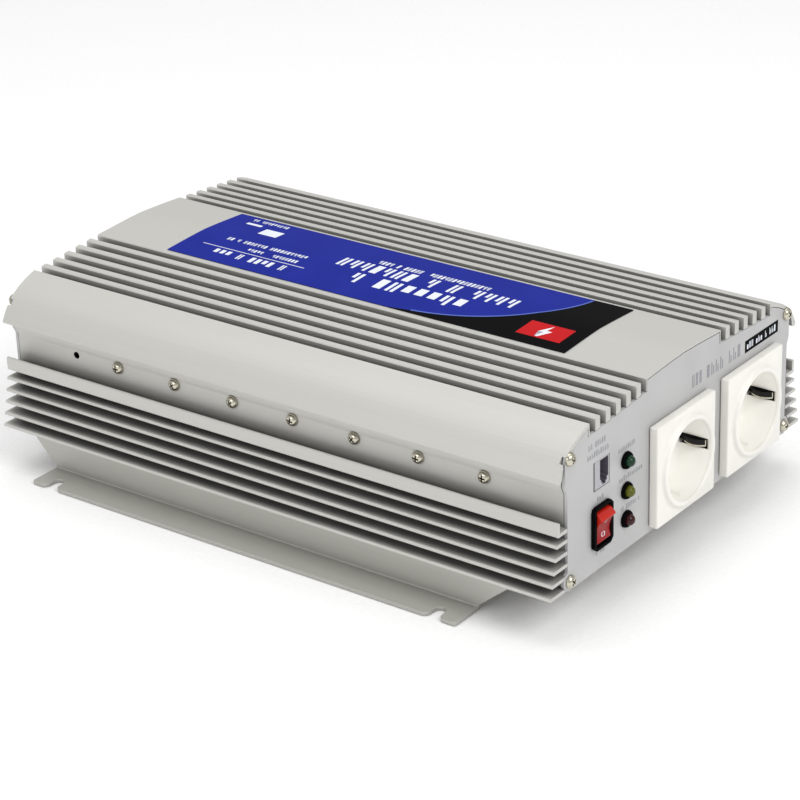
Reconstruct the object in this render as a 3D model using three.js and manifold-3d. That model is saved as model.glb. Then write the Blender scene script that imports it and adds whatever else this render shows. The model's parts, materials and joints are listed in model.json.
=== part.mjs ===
// Mains power inverter: a finned aluminium extrusion closed by two end panels and a base
// plate, on two Z-shaped mounting rails, with its outlets, switch, fan and battery terminals.
// Millimetres, +Z up, +X to the right seen from the outlet end, -Y out of the outlet end.
// Every length along Y is counted from the face of the front panel towards the rear.

import * as THREE from 'three';
import { mergeVertices } from 'three/addons/utils/BufferGeometryUtils.js';
import Module from 'manifold-3d';

const wasm = await Module();
wasm.setup();

// ---------------------------------------------------------------- driving dimensions

const GAP = 0.3;                 // clearance between pieces that touch
const SEAT = 0.15;               // clearance under a screw head

const BODY_LENGTH = 340;
const BODY_BOTTOM = 22.8;        // underside of the body above the mounting surface
const WALL_OUTER = 99.2;         // outer face of the side wall, from the middle
const WALL_INNER = 96.0;

const FIN_COUNT = 5;
const FIN_PITCH = 6.15;
const FIN_THICKNESS = 1.8;
const FIN_FIRST_BOTTOM = 23.5;
const FIN_FIRST_TIP = 113.9;
const FIN_TIP_STEP = 1.37;       // each fin is this much shorter than the one below it

const LIP_BOTTOM = 53.3;         // open channel above the fins
const LIP_OUTER = 107.2;
const LIP_TOP = 60.5;
const LIP_THICKNESS = 1.8;

const FLARE = [71.8, 75.2];      // the wall widens between these heights, below the shoulder
const FLARE_OUTER = 101.2;
const SKIRT_SLIT_TOP = 86.4;     // top of the slit between the wall and the skirt of the shoulder

const CROWN_TOP = 105.2;
const CROWN_DROP = 5.2;          // fall of the crown from the middle to the last groove
const CROWN_HALF = 33.3;         // half width of the plain panel between the grooves
const GROOVE_COUNT = 6;          // grooves on each side of the plain panel
const GROOVE_WIDTH = 4.8;
const GROOVE_DEPTH = 6.6;
const RIB_WIDTH = 3.8;
const EDGE = 0.5;                // small chamfer on the rib corners
const RIBS_END = CROWN_HALF + GROOVE_COUNT * GROOVE_WIDTH + (GROOVE_COUNT - 1) * RIB_WIDTH;

const PANEL_THICKNESS = 1.8;     // both end panels, let into the ends of the extrusion
const PANEL_POCKET = PANEL_THICKNESS + GAP;
const LOWER_SCREW = [97.7, 27.5];
const UPPER_SCREW = [97.4, 88.8];
const EAR_RADIUS = 4.9;
const UPPER_EAR_RADIUS = 2.75;
const PANEL_FLARE = 100.9;       // widest edge of an end panel, beside its upper screws
const PANEL_RIM = 2.4;           // width of the shoulder's own end face outside the panel
const RELIEF = [99.3, 87.3];     // room beside each upper screw, open to the slit under the shoulder
const RELIEF_RADIUS = 3.4;

const BASE_HALF_WIDTH = 94.0;
const BASE_THICKNESS = 2.0;
const BASE_TOP = BODY_BOTTOM + BASE_THICKNESS;

const RAIL_THICKNESS = 2.0;
const RAIL_TOP = BODY_BOTTOM - GAP;
const RAIL_INNER = 70;           // inner edge of the leg under the body
const RAIL_WEB = 102.8;          // outer face of the upright
const RAIL_OUTER = 121.3;        // outer edge of the foot
const RAIL_FOOT = [47.7, 315.5];
const RAIL_LEG = [27, 332];
const SLOT_Y = [60.6, 302.8];
const SLOT_WIDTH = 6.3;
const SLOT_DEPTH = 9.3;
const SLOT_LEAD = 3.4;           // radius at the mouth of a slot

const OUTLET_X = [-4.9, 59.7];
const OUTLET_Z = 51.9;
const OUTLET_SIZE = 52.2;
const OUTLET_PLATE = 5.2;        // thickness of the square cover in front of the panel
const OUTLET_COLLAR = 2.5;       // raised round collar in front of the cover
const WELL_RADIUS = 19.75;
const WELL_FLOOR = 10.5;         // behind the face of the panel
const BARREL_RADIUS = 22.6;
const PIN_OFFSET = 9.5;          // contact holes above and below the middle

const SWITCH_X = -72.3;
const SWITCH_Z = 45.5;
const SWITCH_BEZEL = [15.9, 22.1];
const SWITCH_OPENING = [12.0, 19.0];
const ROCKER_PIVOT_Y = 1.9;
const ROCKER_TILT = 13;          // degrees each side of level

const PORT_X = -71.2;
const PORT_Z = 71.0;

const LAMP_X = -50.8;
const LAMP_Z = { normal: 69.3, over_temperature: 53.8, overload: 39.1 };

const LABEL_HALF = 30.4;
const LABEL_Y = [46.9, 293.5];

const SIDE_SCREW_Z = 68.7;
const SIDE_SCREW_COUNT = 7;
const SIDE_SCREW_FIRST = 45.0;
const SIDE_SCREW_PITCH = 37.3;
const SPARE_HOLE_Y = 297.4;
const SCREW_HEAD_RADIUS = 3.3;
const SCREW_SHANK_RADIUS = 1.6;
const SCREW_HOLE_RADIUS = SCREW_SHANK_RADIUS + GAP;

const FAN_X = -45;
const FAN_Z = 59.5;
const FAN_SIZE = 60;
const FAN_DEPTH = 25;
const FAN_BORE = 28.5;
const FAN_REAR = BODY_LENGTH - PANEL_POCKET - GAP;

const TERMINAL_X = { negative: 22, positive: 68 };
const TERMINAL_Z = 55;
const STUD_RADIUS = 4;
const STUD_END = 366;            // the rearmost point of the inverter
const GROUND_SCREW = [45, 33];

const BOARD_Z = 33.0;
const FRONT_MOST = -(OUTLET_PLATE + OUTLET_COLLAR);
const Y_CENTRE = (FRONT_MOST + STUD_END) / 2;

// ---------------------------------------------------------------- materials

const FINISH = {
  aluminium: { color: 0xc4c3bd, roughness: 0.42, metalness: 0.85 },
  panel: { color: 0xc8c8cc, roughness: 0.5, metalness: 0.35 },
  sheet: { color: 0xb2b1aa, roughness: 0.45, metalness: 0.8 },
  outletWhite: { color: 0xf1efe6, roughness: 0.35, metalness: 0 },
  blackPlastic: { color: 0x17171a, roughness: 0.4, metalness: 0 },
  greyPlastic: { color: 0x8f9193, roughness: 0.5, metalness: 0 },
  redPlastic: { color: 0xc8301c, roughness: 0.3, metalness: 0 },
  greenLens: { color: 0x1f6a3a, roughness: 0.2, metalness: 0 },
  amberLens: { color: 0x7d8226, roughness: 0.2, metalness: 0 },
  redLens: { color: 0x6e1c16, roughness: 0.2, metalness: 0 },
  label: { color: 0x2b3ca0, roughness: 0.4, metalness: 0 },
  nickel: { color: 0xc9c3ae, roughness: 0.25, metalness: 1 },
  brass: { color: 0xc9a24a, roughness: 0.3, metalness: 1 },
  board: { color: 0x1f5f3a, roughness: 0.6, metalness: 0 },
  ferrite: { color: 0x3a3a3c, roughness: 0.7, metalness: 0.1 },
  capacitor: { color: 0x22346e, roughness: 0.4, metalness: 0 },
};

// ---------------------------------------------------------------- solids and booleans

// Signed volume of a welded, indexed geometry: negative when its faces point inwards.
function signedVolume(geometry) {
  const point = geometry.attributes.position;
  const index = geometry.index.array;
  const a = new THREE.Vector3();
  const b = new THREE.Vector3();
  const c = new THREE.Vector3();
  let volume = 0;
  for (let i = 0; i < index.length; i += 3) {
    a.fromBufferAttribute(point, index[i]);
    b.fromBufferAttribute(point, index[i + 1]);
    c.fromBufferAttribute(point, index[i + 2]);
    volume += a.dot(b.cross(c)) / 6;
  }
  return volume;
}

function welded(geometry) {
  const bare = geometry.clone();
  bare.deleteAttribute('normal');
  bare.deleteAttribute('uv');
  const solid = mergeVertices(bare, 1e-4);
  if (signedVolume(solid) < 0) {
    const index = Array.from(solid.index.array);
    for (let i = 0; i < index.length; i += 3) {
      [index[i + 1], index[i + 2]] = [index[i + 2], index[i + 1]];
    }
    solid.setIndex(index);
  }
  return solid;
}

function manifold(geometry) {
  const solid = welded(geometry);
  const mesh = new wasm.Mesh({
    numProp: 3,
    vertProperties: new Float32Array(solid.attributes.position.array),
    triVerts: Uint32Array.from(solid.index.array),
  });
  return new wasm.Manifold(mesh);
}

function geometryOf(body) {
  const mesh = body.getMesh();
  const geometry = new THREE.BufferGeometry();
  geometry.setAttribute('position', new THREE.BufferAttribute(new Float32Array(mesh.vertProperties), 3));
  geometry.setIndex(Array.from(mesh.triVerts));
  return geometry;
}

function join(...geometries) {
  return geometryOf(geometries.map(manifold).reduce((whole, piece) => whole.add(piece)));
}

function cut(geometry, ...tools) {
  return geometryOf(tools.map(manifold).reduce((rest, tool) => rest.subtract(tool), manifold(geometry)));
}

function mirrored(geometry) {
  return welded(geometry.clone().scale(-1, 1, 1));
}

// ---------------------------------------------------------------- shapes

function extrude(shape, depth, curveSegments) {
  return new THREE.ExtrudeGeometry(shape, { depth, bevelEnabled: false, curveSegments });
}

// An outline in X and Z, swept along Y from y0 to y1.
function sweptY(shape, y0, y1, curveSegments = 6) {
  const basis = new THREE.Matrix4().makeBasis(
    new THREE.Vector3(1, 0, 0), new THREE.Vector3(0, 0, 1), new THREE.Vector3(0, -1, 0));
  return extrude(shape, y1 - y0, curveSegments).applyMatrix4(basis).translate(0, y1, 0);
}

// An outline in Y and Z, swept along X from x0 to x1.
function sweptX(shape, x0, x1, curveSegments = 6) {
  const basis = new THREE.Matrix4().makeBasis(
    new THREE.Vector3(0, 1, 0), new THREE.Vector3(0, 0, 1), new THREE.Vector3(1, 0, 0));
  return extrude(shape, x1 - x0, curveSegments).applyMatrix4(basis).translate(x0, 0, 0);
}

// An outline in X and Y, swept along Z from z0 to z1.
function sweptZ(shape, z0, z1, curveSegments = 6) {
  return extrude(shape, z1 - z0, curveSegments).translate(0, 0, z0);
}

function polygon(points) {
  return new THREE.Shape(points.map(([u, v]) => new THREE.Vector2(u, v)));
}

function box([x0, x1], [y0, y1], [z0, z1]) {
  const geometry = new THREE.BoxGeometry(x1 - x0, y1 - y0, z1 - z0);
  return geometry.translate((x0 + x1) / 2, (y0 + y1) / 2, (z0 + z1) / 2);
}

function rodY(radius, y0, y1, x, z, segments = 20) {
  return new THREE.CylinderGeometry(radius, radius, y1 - y0, segments).translate(x, (y0 + y1) / 2, z);
}

function rodX(radius, x0, x1, y, z, segments = 16) {
  const rod = new THREE.CylinderGeometry(radius, radius, x1 - x0, segments).rotateZ(Math.PI / 2);
  return rod.translate((x0 + x1) / 2, y, z);
}

function rodZ(radius, z0, z1, x, y, segments = 20) {
  const rod = new THREE.CylinderGeometry(radius, radius, z1 - z0, segments).rotateX(Math.PI / 2);
  return rod.translate(x, y, (z0 + z1) / 2);
}

// A profile of [radius, y] points turned about the Y axis.
function turnedY(profile, segments = 20) {
  return new THREE.LatheGeometry(profile.map(([radius, y]) => new THREE.Vector2(radius, y)), segments);
}

function roundedRectangle(u0, u1, v0, v1, radius) {
  const shape = new THREE.Shape();
  shape.moveTo(u0 + radius, v0);
  shape.lineTo(u1 - radius, v0);
  shape.absarc(u1 - radius, v0 + radius, radius, -Math.PI / 2, 0);
  shape.lineTo(u1, v1 - radius);
  shape.absarc(u1 - radius, v1 - radius, radius, 0, Math.PI / 2);
  shape.lineTo(u0 + radius, v1);
  shape.absarc(u0 + radius, v1 - radius, radius, Math.PI / 2, Math.PI);
  shape.lineTo(u0, v0 + radius);
  shape.absarc(u0 + radius, v0 + radius, radius, Math.PI, 1.5 * Math.PI);
  return shape;
}

// A closed outline from its right half: the half runs from the bottom to the middle line.
function symmetricShape(half) {
  const left = half.map((p) => new THREE.Vector2(-p.x, p.y)).reverse();
  const loop = [...half, ...left];
  return new THREE.Shape(loop.filter((p, i) => i === 0 || p.distanceTo(loop[i - 1]) > 1e-3));
}

// ---------------------------------------------------------------- housing

function crownHeight(x) {
  return CROWN_TOP - CROWN_DROP * Math.pow(Math.abs(x) / RIBS_END, 1.3);
}

function grooveFloor(x) {
  return crownHeight(x) - GROOVE_DEPTH;
}

// The rounded shoulder, from the tip of its skirt to the outermost groove.
const shoulder = new THREE.CubicBezierCurve(
  new THREE.Vector2(107.4, 80.5),
  new THREE.Vector2(103.6, 88.2),
  new THREE.Vector2(98.2, 95.4),
  new THREE.Vector2(RIBS_END + EDGE, crownHeight(RIBS_END)),
);

function addFins(path) {
  const tip = FIN_THICKNESS / 2;
  for (let i = 0; i < FIN_COUNT; i++) {
    const bottom = FIN_FIRST_BOTTOM + i * FIN_PITCH;
    const reach = FIN_FIRST_TIP - i * FIN_TIP_STEP - tip;
    path.lineTo(WALL_OUTER, bottom);
    path.lineTo(reach, bottom);
    path.absarc(reach, bottom + tip, tip, -Math.PI / 2, Math.PI / 2);
    path.lineTo(WALL_OUTER, bottom + FIN_THICKNESS);
  }
}

function addLipChannel(path) {
  const tip = LIP_THICKNESS / 2;
  path.lineTo(WALL_OUTER, LIP_BOTTOM);
  path.lineTo(LIP_OUTER - tip, LIP_BOTTOM);
  path.absarc(LIP_OUTER - tip, LIP_BOTTOM + tip, tip, -Math.PI / 2, 0);
  path.lineTo(LIP_OUTER, LIP_TOP - tip);
  path.absarc(LIP_OUTER - tip, LIP_TOP - tip, tip, 0, Math.PI);
  path.lineTo(LIP_OUTER - LIP_THICKNESS, LIP_BOTTOM + LIP_THICKNESS);
  path.lineTo(WALL_OUTER, LIP_BOTTOM + LIP_THICKNESS);
}

function addRibs(path) {
  for (let i = GROOVE_COUNT - 1; i >= 0; i--) {
    const inner = CROWN_HALF + i * (GROOVE_WIDTH + RIB_WIDTH);
    const outer = inner + GROOVE_WIDTH;
    path.lineTo(outer + EDGE, crownHeight(outer));
    path.lineTo(outer, crownHeight(outer) - EDGE);
    path.lineTo(outer, grooveFloor(outer));
    path.lineTo(inner, grooveFloor(outer));
    path.lineTo(inner, crownHeight(inner) - EDGE);
    path.lineTo(inner - EDGE, crownHeight(inner));
  }
}

// The right half of the section, from the foot of the wall up and over to the middle.
function halfHousingShape() {
  const section = new THREE.Shape();
  section.moveTo(BASE_HALF_WIDTH + GAP, BODY_BOTTOM);
  section.lineTo(WALL_OUTER, BODY_BOTTOM);
  addFins(section);
  addLipChannel(section);
  const skirt = [
    [WALL_OUTER, FLARE[0]], [FLARE_OUTER, FLARE[1]], [FLARE_OUTER, SKIRT_SLIT_TOP - 0.6],
    [FLARE_OUTER + 0.6, SKIRT_SLIT_TOP], [FLARE_OUTER + 1.5, SKIRT_SLIT_TOP - 1], [103.8, 80.4],
    [104.3, 79.6], [105.3, 79.2], [106.4, 79.2], [107.2, 79.7],
  ];
  skirt.forEach(([x, z]) => section.lineTo(x, z));
  shoulder.getPoints(12).forEach((p) => section.lineTo(p.x, p.y));
  addRibs(section);
  [24, 16, 8, 0].forEach((x) => section.lineTo(x, crownHeight(x)));
  const inside = [
    [0, 101.6], [29.8, 100.4], [29.8, 93.2], [83, 89.4], [WALL_INNER, 76], [WALL_INNER, 29],
    [90, 29], [90, BASE_TOP + GAP], [BASE_HALF_WIDTH + GAP, BASE_TOP + GAP],
  ];
  inside.forEach(([x, z]) => section.lineTo(x, z));
  return section;
}

// Outline of an end panel. A positive growth gives the pocket that the panel drops into.
function panelShape(growth) {
  const half = new THREE.Path();
  const [lowerX, lowerZ] = LOWER_SCREW;
  const ear = EAR_RADIUS + growth;
  const side = WALL_OUTER + growth;
  const turn = Math.acos((side - lowerX) / ear);
  half.moveTo(0, BODY_BOTTOM - growth);
  half.lineTo(lowerX - 1, BODY_BOTTOM - growth);
  half.absarc(lowerX, lowerZ, ear, -Math.PI / 2, turn);
  half.lineTo(side, FLARE[0] - growth);
  half.lineTo(PANEL_FLARE + growth, FLARE[1]);
  const [upperX, upperZ] = UPPER_SCREW;
  const upperEar = UPPER_EAR_RADIUS + growth;
  half.lineTo(PANEL_FLARE + growth, upperZ - 2);
  half.absarc(upperX, upperZ, upperEar, 0, 0.42 * Math.PI);
  for (let t = 0.6; t < 0.96; t += 0.085) {
    const point = shoulder.getPoint(t);
    const tangent = shoulder.getTangent(t);
    const inset = PANEL_RIM - growth;
    half.lineTo(point.x - inset * tangent.y, point.y + inset * tangent.x);
  }
  half.lineTo(RIBS_END + 1.2 - growth, grooveFloor(RIBS_END) + 4.2 + growth);
  half.lineTo(RIBS_END + 1.2 - growth, grooveFloor(RIBS_END) + growth);
  half.lineTo(CROWN_HALF - 1 + growth, grooveFloor(CROWN_HALF + GROOVE_WIDTH) + growth);
  [CROWN_HALF - 1 + growth, 22, 11, 0].forEach((x) => half.lineTo(x, crownHeight(x) - 1.2 + growth));
  return symmetricShape(half.getPoints(4));
}

const CORNER_SCREWS = [
  [-UPPER_SCREW[0], UPPER_SCREW[1]], UPPER_SCREW,
  [-LOWER_SCREW[0], LOWER_SCREW[1]], LOWER_SCREW,
];

const sideScrewY = Array.from(
  { length: SIDE_SCREW_COUNT },
  (_, i) => SIDE_SCREW_FIRST + i * SIDE_SCREW_PITCH,
);

function housing() {
  const half = sweptY(halfHousingShape(), 0, BODY_LENGTH, 3);
  const bosses = [-1, 1].map((side) => rodY(4.3, 0, BODY_LENGTH, side * LOWER_SCREW[0], LOWER_SCREW[1], 24));
  const pockets = [
    sweptY(panelShape(GAP), -1, PANEL_POCKET),
    sweptY(panelShape(GAP), BODY_LENGTH - PANEL_POCKET, BODY_LENGTH + 1),
  ];
  const reliefs = [-1, 1].flatMap((side) => [
    rodY(RELIEF_RADIUS, -1, PANEL_POCKET, side * RELIEF[0], RELIEF[1], 24),
    rodY(RELIEF_RADIUS, BODY_LENGTH - PANEL_POCKET, BODY_LENGTH + 1, side * RELIEF[0], RELIEF[1], 24),
  ]);
  const bores = CORNER_SCREWS.flatMap(([x, z]) => [
    rodY(SCREW_HOLE_RADIUS, -1, 14, x, z, 12),
    rodY(SCREW_HOLE_RADIUS, BODY_LENGTH - 14, BODY_LENGTH + 1, x, z, 12),
  ]);
  const sideHoles = [...sideScrewY, SPARE_HOLE_Y].flatMap((y) => [-1, 1].map((side) => {
    const [x0, x1] = [side * (WALL_INNER - 1), side * (WALL_OUTER + 1)].sort((a, b) => a - b);
    return rodX(SCREW_HOLE_RADIUS, x0, x1, y, SIDE_SCREW_Z, 12);
  }));
  return cut(join(half, mirrored(half), ...bosses), ...pockets, ...reliefs, ...bores, ...sideHoles);
}

function basePlate() {
  const [y0, y1] = [PANEL_POCKET, BODY_LENGTH - PANEL_POCKET];
  const plate = box([-BASE_HALF_WIDTH, BASE_HALF_WIDTH], [y0, y1], [BODY_BOTTOM, BASE_TOP]);
  const posts = [-70, 70].flatMap((x) => [30, 285].map((y) => (
    rodZ(3.5, BASE_TOP - 0.5, BOARD_Z - GAP, x, y, 12)
  )));
  return join(plate, ...posts);
}

// ---------------------------------------------------------------- end panels

function frontPanel() {
  const [y0, y1] = [-1, PANEL_THICKNESS + 1];
  const lampHoles = Object.values(LAMP_Z).map((z) => rodY(3.8, y0, y1, LAMP_X, z, 16));
  const outletHoles = OUTLET_X.map((x) => rodY(BARREL_RADIUS + GAP, y0, y1, x, OUTLET_Z, 40));
  const screwHoles = CORNER_SCREWS.map(([x, z]) => rodY(SCREW_HOLE_RADIUS, y0, y1, x, z, 12));
  const switchHole = box([SWITCH_X - 7.1, SWITCH_X + 7.1], [y0, y1], [SWITCH_Z - 10.3, SWITCH_Z + 10.3]);
  const portHole = box([PORT_X - 6.7, PORT_X + 7], [y0, y1], [PORT_Z - 7.3, PORT_Z + 7.5]);
  const plate = sweptY(panelShape(0), 0, PANEL_THICKNESS);
  return cut(plate, ...outletHoles, ...lampHoles, ...screwHoles, switchHole, portHole);
}

// One ring sector, as a closed outline about the middle of the fan.
function sectorShape(inner, outer, from, to) {
  const shape = new THREE.Shape();
  shape.absarc(FAN_X, FAN_Z, outer, from, to, false);
  shape.absarc(FAN_X, FAN_Z, inner, to, from, true);
  return shape;
}

function rearPanel() {
  const [y0, y1] = [BODY_LENGTH - PANEL_THICKNESS - 1, BODY_LENGTH + 1];
  const plate = sweptY(panelShape(0), BODY_LENGTH - PANEL_THICKNESS, BODY_LENGTH);
  const sectors = 6;
  const bridge = 1.3;            // half width of the metal left between two slots
  const slots = [[7, 12], [15, 20], [23, 28]].flatMap(([inner, outer]) => (
    Array.from({ length: sectors }, (_, i) => {
      const from = (i / sectors) * 2 * Math.PI + bridge / inner;
      const to = ((i + 1) / sectors) * 2 * Math.PI - bridge / inner;
      return sweptY(sectorShape(inner, outer, from, to), y0, y1, 3);
    })
  ));
  const screwHoles = CORNER_SCREWS.map(([x, z]) => rodY(SCREW_HOLE_RADIUS, y0, y1, x, z, 12));
  const terminalHoles = Object.values(TERMINAL_X).map((x) => rodY(7 + GAP, y0, y1, x, TERMINAL_Z, 24));
  const groundHole = rodY(2 + GAP, y0, y1, GROUND_SCREW[0], GROUND_SCREW[1], 12);
  return cut(plate, ...slots, ...screwHoles, ...terminalHoles, groundHole);
}

// ---------------------------------------------------------------- mounting rails

function railSection() {
  const bend = 2.6;
  const inside = bend - RAIL_THICKNESS;
  const shape = new THREE.Shape();
  shape.moveTo(RAIL_INNER, RAIL_TOP);
  shape.lineTo(RAIL_WEB - bend, RAIL_TOP);
  shape.absarc(RAIL_WEB - bend, RAIL_TOP - bend, bend, Math.PI / 2, 0, true);
  shape.lineTo(RAIL_WEB, RAIL_THICKNESS + inside);
  shape.absarc(RAIL_WEB + inside, RAIL_THICKNESS + inside, inside, Math.PI, 1.5 * Math.PI);
  shape.lineTo(RAIL_OUTER, RAIL_THICKNESS);
  shape.lineTo(RAIL_OUTER, 0);
  shape.lineTo(RAIL_WEB + inside, 0);
  shape.absarc(RAIL_WEB + inside, bend, bend, 1.5 * Math.PI, Math.PI, true);
  shape.lineTo(RAIL_WEB - RAIL_THICKNESS, RAIL_TOP - bend);
  shape.absarc(RAIL_WEB - bend, RAIL_TOP - bend, inside, 0, Math.PI / 2);
  shape.lineTo(RAIL_INNER, RAIL_TOP - RAIL_THICKNESS);
  return shape;
}

// The slot in a foot, open at its outer edge, with rounded corners at the mouth.
function slotShape(y) {
  const half = SLOT_WIDTH / 2;
  const shape = new THREE.Shape();
  shape.moveTo(RAIL_OUTER + 1, y - half - SLOT_LEAD);
  shape.lineTo(RAIL_OUTER, y - half - SLOT_LEAD);
  shape.absarc(RAIL_OUTER - SLOT_LEAD, y - half - SLOT_LEAD, SLOT_LEAD, 0, Math.PI / 2);
  shape.lineTo(RAIL_OUTER - SLOT_DEPTH + half, y - half);
  shape.absarc(RAIL_OUTER - SLOT_DEPTH + half, y, half, 1.5 * Math.PI, Math.PI / 2, true);
  shape.lineTo(RAIL_OUTER - SLOT_LEAD, y + half);
  shape.absarc(RAIL_OUTER - SLOT_LEAD, y + half + SLOT_LEAD, SLOT_LEAD, -Math.PI / 2, 0);
  shape.lineTo(RAIL_OUTER + 1, y + half + SLOT_LEAD);
  return shape;
}

// What is cut away at one end of a rail, so that its upright slopes down to the foot.
function railEndShape(footY, legY, outwards) {
  const away = legY + 4 * outwards;
  return polygon([
    [away, RAIL_TOP - 3], [legY, RAIL_TOP - 3], [footY, RAIL_THICKNESS + 0.6], [footY, -1], [away, -1],
  ]);
}

// What is cut away to round one outer corner of a foot.
function footCornerShape(y, inwards) {
  const radius = 1.6;
  const shape = new THREE.Shape();
  const centre = y + inwards * radius;
  shape.moveTo(RAIL_OUTER + 1, centre);
  shape.lineTo(RAIL_OUTER, centre);
  shape.absarc(RAIL_OUTER - radius, centre, radius, 0, -inwards * Math.PI / 2, inwards > 0);
  shape.lineTo(RAIL_OUTER - radius, y - inwards);
  shape.lineTo(RAIL_OUTER + 1, y - inwards);
  return shape;
}

function mountingRail() {
  const bar = sweptY(railSection(), RAIL_LEG[0], RAIL_LEG[1], 3);
  const span = [RAIL_WEB - 5, RAIL_OUTER + 1];
  const ends = [
    sweptX(railEndShape(RAIL_FOOT[0], RAIL_LEG[0], -1), ...span),
    sweptX(railEndShape(RAIL_FOOT[1], RAIL_LEG[1], 1), ...span),
  ];
  const slots = SLOT_Y.map((y) => sweptZ(slotShape(y), -1, RAIL_THICKNESS + 1, 5));
  const corners = [
    sweptZ(footCornerShape(RAIL_FOOT[0], 1), -1, RAIL_THICKNESS + 1, 5),
    sweptZ(footCornerShape(RAIL_FOOT[1], -1), -1, RAIL_THICKNESS + 1, 5),
  ];
  return cut(bar, ...ends, ...slots, ...corners);
}

// ---------------------------------------------------------------- outlets

// Built about the middle of the well, at x = 0 and z = 0.
function outletShell() {
  const half = OUTLET_SIZE / 2;
  const cover = sweptY(roundedRectangle(-half, half, -half, half, 1.6), -OUTLET_PLATE, -GAP, 3);
  const collarEdge = 0.9;
  const barrel = turnedY([
    [0, -OUTLET_PLATE - OUTLET_COLLAR],
    [BARREL_RADIUS - collarEdge, -OUTLET_PLATE - OUTLET_COLLAR],
    [BARREL_RADIUS, -OUTLET_PLATE - OUTLET_COLLAR + collarEdge],
    [BARREL_RADIUS, WELL_FLOOR + 3],
    [0, WELL_FLOOR + 3],
  ], 40);
  const well = turnedY([
    [0, -OUTLET_PLATE - OUTLET_COLLAR - 1],
    [WELL_RADIUS + 1.6, -OUTLET_PLATE - OUTLET_COLLAR - 1],
    [WELL_RADIUS, -OUTLET_PLATE - OUTLET_COLLAR + 0.6],
    [WELL_RADIUS, WELL_FLOOR],
    [0, WELL_FLOOR],
  ], 40);
  const pinHoles = [-1, 1].map((side) => rodY(2.6, 0, 20, 0, side * PIN_OFFSET, 14));
  const clipSlot = box([-21.6, 21.6], [-4.8, WELL_FLOOR - 0.01], [-2.7, 2.7]);
  const clipHoles = [-1, 1].map((side) => {
    const [x0, x1] = [side * 19, side * 21.6].sort((a, b) => a - b);
    return box([x0, x1], [0, 20], [-2.7, 2.7]);
  });
  const ribs = [-1, 1].map((side) => {
    const [z0, z1] = [side * 17.6, side * 20.5].sort((a, b) => a - b);
    return box([-1.1, 1.1], [-2.5, WELL_FLOOR + 0.5], [z0, z1]);
  });
  const hollow = cut(join(cover, barrel), well, clipSlot, ...clipHoles, ...pinHoles);
  return join(hollow, ...ribs);
}

// A strip of constant thickness that follows a line of points in X and Y.
function stripShape(points, thickness) {
  const line = points.map(([x, y]) => new THREE.Vector2(x, y));
  const normals = line.map((_, i) => {
    const before = line[Math.max(i - 1, 0)];
    const after = line[Math.min(i + 1, line.length - 1)];
    const along = after.clone().sub(before).normalize();
    return new THREE.Vector2(-along.y, along.x).multiplyScalar(thickness / 2);
  });
  const left = line.map((p, i) => p.clone().add(normals[i]));
  const right = line.map((p, i) => p.clone().sub(normals[i])).reverse();
  return new THREE.Shape([...left, ...right]);
}

// The sprung earth strip: a U round the back of the well, with a finger at each side.
function earthClip() {
  const back = WELL_FLOOR + 4.4;
  const arm = [
    [20.8, -4.0], [19.8, -3.3], [18.3, -1.0], [17.4, 1.8],
    [17.7, 4.4], [19.2, 7.2], [20.7, 9.6], [20.7, back - 1.2], [19.9, back],
  ];
  const other = arm.map(([x, y]) => [-x, y]).reverse();
  return sweptZ(stripShape([...arm, ...other], 0.6), -1.7, 1.7);
}

// ---------------------------------------------------------------- switch

function switchHousing() {
  const [halfWidth, halfHeight] = SWITCH_BEZEL.map((size) => size / 2);
  const [holeWidth, holeHeight] = SWITCH_OPENING;
  const corner = 2.2;
  const rightSide = [[halfWidth - corner, -halfHeight], [halfWidth, corner - halfHeight]];
  const upper = rightSide.map(([x, z]) => [x, -z]).reverse();
  const right = [...rightSide, ...upper];
  const left = right.map(([x, z]) => [-x, z]).reverse();
  const bezel = sweptY(polygon([...right, ...left]), -2.2, -GAP);
  const body = box([-6.8, 6.8], [-1, 20], [-10, 10]);
  const recess = box([-holeWidth / 2, holeWidth / 2], [-3, 9], [-holeHeight / 2, holeHeight / 2]);
  const pivot = rodX(1.5, -6.9, 6.9, ROCKER_PIVOT_Y, 0, 14);
  const tabs = [-4, 0, 4].map((z) => box([-3, 3], [19.5, 28], [z - 0.4, z + 0.4]));
  return join(cut(join(bezel, body), recess, pivot), ...tabs);
}

// Built level about its pivot, then tilted to the off position, its top end standing out.
function switchRocker() {
  const half = SWITCH_OPENING[0] / 2 - GAP;
  const upper = [[-3.8, 0], [-4.1, 2.4], [-4.9, 4.6], [-5.6, 6.2], [-2.4, 8.3], [-0.6, 8.3], [2.2, 4.6]];
  const lower = upper.slice(1).map(([y, z]) => [y, -z]).reverse();
  const outline = polygon([...upper, ...lower]);
  const paddle = sweptX(outline, -half, half);
  const pins = rodX(1.2, -6.55, 6.55, 0, 0, 14);
  return join(paddle, pins).rotateX(THREE.MathUtils.degToRad(ROCKER_TILT));
}

// ---------------------------------------------------------------- remote socket and lamps

function remotePort() {
  const body = box([-5.1, 6.7], [0.3, 16], [-7, 7.2]);
  const mouth = box([-0.8, 6.1], [-1, 12], [-3.4, 6.6]);
  const latch = box([0.2, 5.0], [-1, 12], [-5.2, -3.3]);
  const latchEnd = box([1.3, 3.9], [-1, 12], [-6.4, -5.1]);
  return cut(body, mouth, latch, latchEnd);
}

function lampBezel() {
  return turnedY([
    [3.1, 5], [3.1, -1.8], [3.6, -2.1], [4.1, -1.4], [4.3, -GAP], [3.5, -GAP], [3.5, 5], [3.1, 5],
  ], 20);
}

function lampLens() {
  return turnedY([
    [0, -5.0], [1.3, -4.7], [2.2, -3.9], [2.7, -2.8], [2.8, -1.6], [2.8, 6], [0, 6],
  ], 16);
}

// ---------------------------------------------------------------- label

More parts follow.
